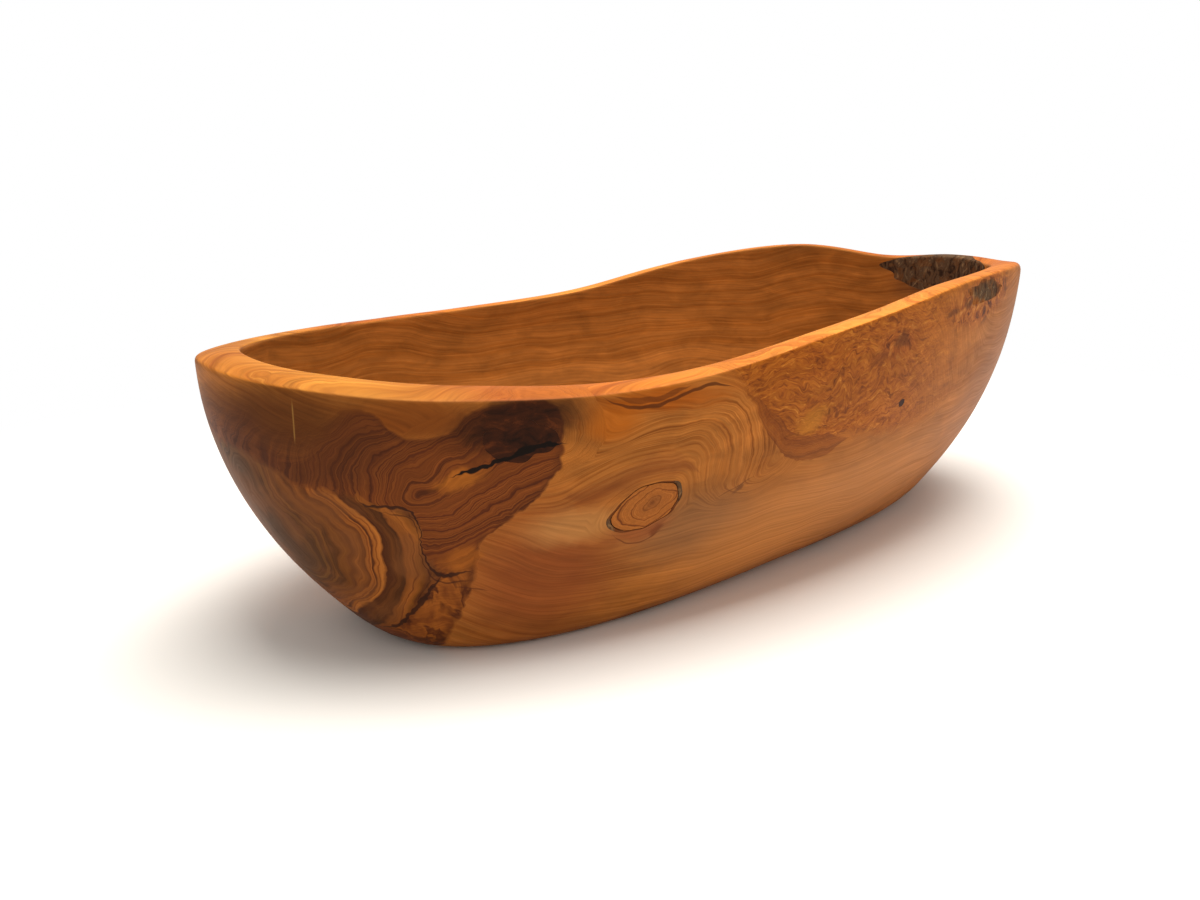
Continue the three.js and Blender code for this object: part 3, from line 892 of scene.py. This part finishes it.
def with_lit_rim_top(wood, colour, ring):
    """Rim top, cut along the rings and plainer than the walls, painted lighter as if lit from above, with
    painted light, shade and sheen along the bowl.
    """
    tree = wood.tree
    # Painted light: faces that look up, high on the bowl, take the lighter rim colours
    facing = add(tree, "TexCoord").node.outputs["Normal"]
    upward = add(tree, "SeparateXYZ", {0: facing}).node.outputs["Z"]
    level = add(tree, "MapRange", {0: upward, 1: 0.5, 2: 0.85}, interpolation_type="SMOOTHSTEP")
    high = add(tree, "MapRange", {0: wood.axes["Z"], 1: 60, 2: 80})
    level = add(tree, "Math", {0: level, 1: high}, operation="MULTIPLY")
    share = add(tree, "MapRange", {0: wood.loose_axes["X"], 1: -LENGTH / 2, 2: LENGTH / 2})
    painted_rim_light = add(tree, "ValToRGB", {"Fac": share}, stops=RIM_LIGHT_AND_SHEEN)
    bands = banded(tree, ring, RING_BREADTH, LIT_RIM_BANDS)
    bands = add(tree, "Mix", {"Factor": 1, "A": bands, "B": painted_rim_light}, data_type="RGBA", blend_type="MULTIPLY")
    return stained(tree, colour, level, 0.85, bands)


def with_fibres(wood, colour, ring):
    """Fibres and fine lines along the rings, and a broad satin shimmer."""
    tree = wood.tree
    steps = add(tree, "VectorMath", {0: wood.place, 1: [1 / FIBRE_LENGTH] * 3}, operation="MULTIPLY")
    across = add(tree, "Math", {0: ring, 1: 1 / FIBRE_WIDTH}, operation="MULTIPLY")
    run = add(tree, "CombineXYZ", {0: across})
    run = add(tree, "VectorMath", {0: run, 1: steps}, operation="ADD")
    fibre = add(tree, "TexNoise", {"Vector": run, "Scale": 1, "Detail": 3, "Roughness": 0.65})
    colour = toned(tree, colour, fibre, 0.2, 0.8, 1.16)
    broad = add(tree, "VectorMath", {0: run, 1: SHIMMER_STRETCH}, operation="MULTIPLY")
    shimmer = add(tree, "TexNoise", {"Vector": broad, "Scale": 1, "Detail": 2})
    return toned(tree, colour, shimmer, 0.2, 0.9, 1.1), fibre


def with_lines(wood, colour):
    """Edge of the crescent under the rim, the arch over the front knot, cracks, veins and a scratch."""
    tree = wood.tree
    loose, shaken, torn = wood.loose_axes, wood.shaken_axes, wood.torn_axes
    # Places along and across, marks, half width, share and colour of each line
    lines = [
        (shaken["X"], shaken["Z"], CRESCENT, 0.8, 0.8, "#4a2004"),
        (shaken["X"], shaken["Z"], CRESCENT_BAND, 1.2, 0.6, "#572604"),
        (loose["X"], loose["Z"], KNOT_ARCH, 5.5, 0.17, "#6e3414"),
        (loose["X"], loose["Z"], KNOT_ARCH, 4, 0.17, "#6e3414"),
        (loose["X"], loose["Z"], KNOT_ARCH, 2.5, 0.17, "#6e3414"),
        (torn["X"], torn["Z"], RIM_CRACK, 1, 1, "#180a04"),
        (shaken["X"], shaken["Z"], KNOT_CRACK, 0.35, 0.7, "#5a3012"),
        (shaken["X"], shaken["Z"], KNOT_LOBE, 0.4, 0.8, "#5a2c12"),
        (torn["X"], torn["Z"], HIGH_VEIN, 0.8, 0.85, "#2a1208"),
        (loose["X"], loose["Z"], SIDE_VEIN, 0.5, 0.7, "#3a1a0a"),
        (torn["Z"], torn["X"], LOW_VEIN, 0.9, 0.85, "#2a1208"),
        (shaken["X"], shaken["Z"], SPIKE, 0.4, 0.7, "#4a2110"),
        (wood.axes["Z"], wood.axes["X"], SCRATCH, 0.28, 0.6, "#b98a45"),
    ]
    for along, across, marks, width, share, stain in lines:
        line = drawn_stroke(tree, along, across, marks, width)
        line = add(tree, "Math", {0: line, 1: wood.front}, operation="MULTIPLY")
        colour = stained(tree, colour, line, share, stain)
    return colour


def olive_wood(name):
    """Oiled olive wood: satin, orange to dark brown, with rings that swirl round knots and a curly burl."""
    material, tree, place = started(name)
    wood = wood_places(tree, place)
    ring = plain_rings(wood)
    colour = plain_colour(wood, ring)
    colour, ring = with_burl(wood, colour, ring)
    colour, ring = with_heartwood(wood, colour, ring)
    colour = with_spots(wood, colour)
    colour = with_lit_rim_top(wood, colour, ring)
    colour, fibre = with_fibres(wood, colour, ring)
    colour = with_lines(wood, colour)
    gloss = add(tree, "MapRange", {0: fibre, 1: 0.3, 2: 0.7, 3: 0.55, 4: 0.45})
    surfaced(tree, colour, gloss, fibre, WOOD_RELIEF)
    return material


def knot_wood(name):
    """End grain of a dead branch: orange-brown, with fine dark rings about a core off its middle."""
    material, tree, place = started(name)
    ring = spread_from(tree, wandered(tree, place, KNOT_WAVES), KNOT_CORE, KNOT_RING_REACH, KNOT_TURN)
    ring = add(tree, "Math", {0: ring, 1: KNOT_RING_STEP}, operation="MULTIPLY")
    colour = banded(tree, ring, KNOT_BREADTH, KNOT_BANDS)
    core = add(tree, "MapRange", {0: ring, 1: 4.5, 2: 1}, interpolation_type="SMOOTHSTEP")
    colour = stained(tree, colour, core, 0.45, "#5f3014")
    fibre = add(tree, "TexNoise", {"Vector": place, "Scale": 1 / KNOT_FIBRE_SIZE, "Detail": 3,
                                   "Roughness": 0.6})
    colour = toned(tree, colour, fibre, 0.2, 0.85, 1.12)
    surfaced(tree, colour, 0.48, fibre, WOOD_RELIEF)
    return material


def dark_knot_wood(name):
    """Resin-soaked dead knot: nearly black-brown, mottled, with a few redder streaks."""
    material, tree, place = started(name)
    colour = dark_blots(tree, place)
    torn = add(tree, "SeparateXYZ", {0: wandered(tree, place, LOOSE + TEARS)}).node.outputs
    crack = drawn_stroke(tree, torn["X"], torn["Z"], RIM_CRACK, 1.2)
    colour = stained(tree, colour, crack, 1, "#100602")
    surfaced(tree, colour, 0.5, colour, DARK_KNOT_RELIEF)
    return material


def bark(name):
    """Bark that the tree grew over, sanded flat: grey-brown, dull and crumbly, with pale flecks."""
    material, tree, place = started(name)
    lump = add(tree, "Mapping", {"Vector": wandered(tree, place, BARK_WAVES),
                                 "Scale": [1 / size for size in BARK_FLECK_SIZE]})
    lump = add(tree, "TexNoise", {"Vector": lump, "Scale": 1, "Detail": 5, "Roughness": 0.65,
                                  "Distortion": 1})
    colour = add(tree, "ValToRGB", {"Fac": lump}, stops=BARK_FLECKS)
    grown = add(tree, "TexNoise", {"Vector": place, "Scale": 1 / GROWN_SIZE, "Detail": 3, "Distortion": 0.8})
    grown = add(tree, "MapRange", {0: grown, 1: 0.5, 2: 0.66}, interpolation_type="SMOOTHSTEP")
    colour = stained(tree, colour, grown, 0.35, "#7d4a1e")
    # The sleeve of the front knot is brown along its sides
    sides = nearness(tree, place, KNOT_MIDDLE, SLEEVE_SIDES, 1, 0.8, KNOT_TURN)
    colour = stained(tree, colour, sides, 0.85, "#6b3716")
    # Wood that has grown in at the edge of the outer pocket
    middle = outer_wall(math.radians(OUTER_BARK["turn"]), OUTER_BARK["rise"])
    spread = spread_from(tree, wandered(tree, place, BARK_EDGE_WAVES), middle, OUTER_BARK_REACH)
    edge = add(tree, "MapRange", {0: spread, 1: 0.5, 2: 1}, interpolation_type="SMOOTHSTEP")
    here = add(tree, "MapRange", {0: spread, 1: 2.4, 2: 1.8})
    edge = add(tree, "Math", {0: edge, 1: here}, operation="MULTIPLY")
    colour = stained(tree, colour, edge, 0.9, add(tree, "ValToRGB", {"Fac": lump}, stops=GROWN_IN_WOOD))
    surfaced(tree, colour, 0.8, lump, BARK_RELIEF)
    return material


# Floor: half its side, and how far from the bowl it starts to show as plain white
FLOOR_HALF = 4000
WHITE_FROM = (500, 420, 500)


def studio_floor():
    """Plain pale floor that keeps the bowl's soft shadow, and is plain white to the eye far from it."""
    bm = bmesh.new()
    bmesh.ops.create_grid(bm, x_segments=1, y_segments=1, size=FLOOR_HALF)
    floor = new_object("floor", bm)
    material, tree, place = started("matt_white_floor")
    matt = add(tree, "BsdfPrincipled", {"Base Color": linear("#f6f0e6"), "Roughness": 0.9})
    white = add(tree, "Emission", {"Color": (1, 1, 1, 1), "Strength": 1})
    far = nearness(tree, place, (0, 0, 0), WHITE_FROM, 0.7, 1.1)
    shown = add(tree, "LightPath").node.outputs["Is Camera Ray"]
    far = add(tree, "Math", {0: far, 1: shown}, operation="MULTIPLY")
    add(tree, "OutputMaterial", {"Surface": add(tree, "MixShader", {0: far, 1: matt, 2: white})})
    floor.data.materials.append(material)


# Light of the white surroundings, and the lamp: metres and watts
SKY_LIGHT = 0.55
LAMP_LENGTH = 0.9
LAMP_WIDTH = 0.7
LAMP_POWER = 17
LAMP_PLACE = (0.12, -0.02, 1.1)


def studio_light():
    """White surroundings, and one broad soft lamp overhead."""
    world = bpy.data.worlds.new("white_studio")
    world.use_nodes = True
    tree = world.node_tree
    tree.nodes.clear()
    shown = add(tree, "LightPath").node.outputs["Is Camera Ray"]
    strength = add(tree, "MapRange", {0: shown, 3: SKY_LIGHT, 4: 1})
    sky = add(tree, "Background", {"Color": (1, 1, 1, 1), "Strength": strength})
    add(tree, "OutputWorld", {"Surface": sky})
    bpy.context.scene.world = world
    lamp = bpy.data.lights.new("overhead", "AREA")
    lamp.shape = "RECTANGLE"
    lamp.size = LAMP_LENGTH
    lamp.size_y = LAMP_WIDTH
    lamp.energy = LAMP_POWER
    above = bpy.data.objects.new("overhead", lamp)
    above.location = LAMP_PLACE
    bpy.context.scene.collection.objects.link(above)


# Camera at the photograph's place: millimetres, degrees, and millimetres of lens on a 36 mm sensor
CAMERA_PLACE = Vector((-259.6, -309.9, 148.5))
CAMERA_YAW = 35
CAMERA_PITCH = 15.35
CAMERA_ROLL = 0.48
CAMERA_LENS = 28.37
SENSOR_WIDTH = 36


def photo_camera():
    yaw, pitch, roll = (math.radians(a) for a in (CAMERA_YAW, CAMERA_PITCH, CAMERA_ROLL))
    ahead = Vector((math.sin(yaw) * math.cos(pitch), math.cos(yaw) * math.cos(pitch), -math.sin(pitch)))
    right = Vector((math.cos(yaw), -math.sin(yaw), 0))
    upward = right.cross(ahead)
    across = right * math.cos(roll) - upward * math.sin(roll)
    along = right * math.sin(roll) + upward * math.cos(roll)
    data = bpy.data.cameras.new("camera")
    data.lens = CAMERA_LENS
    data.sensor_width = SENSOR_WIDTH
    data.sensor_fit = "HORIZONTAL"
    data.clip_start = 0.01
    camera = bpy.data.objects.new("camera", data)
    turned = Matrix((across, along, -ahead)).transposed().to_4x4()
    camera.matrix_world = Matrix.Translation(CAMERA_PLACE * MM) @ turned
    bpy.context.scene.collection.objects.link(camera)
    bpy.context.scene.camera = camera


SLOTS = {
    "bowl_body": "olive_wood",
    "front_knot": "knot_wood",
    "front_knot_bark": "bark",
    "rim_knot": "dark_knot_wood",
    "pin_knot": "dark_knot_wood",
    "outer_bark_pocket": "bark",
    "inner_bark_pocket": "bark",
}

photo_camera()
pieces = model_pieces()
materials = {
    "olive_wood": olive_wood("oiled_olive_wood"),
    "knot_wood": knot_wood("ringed_knot_wood"),
    "dark_knot_wood": dark_knot_wood("dark_knot_wood"),
    "bark": bark("sanded_bark"),
}
for node, piece in pieces.items():
    piece.data.materials.append(materials[SLOTS[node]])
    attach(piece, "root")
    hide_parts(node)
studio_floor()
studio_light()
bpy.context.scene.view_settings.view_transform = "Standard"
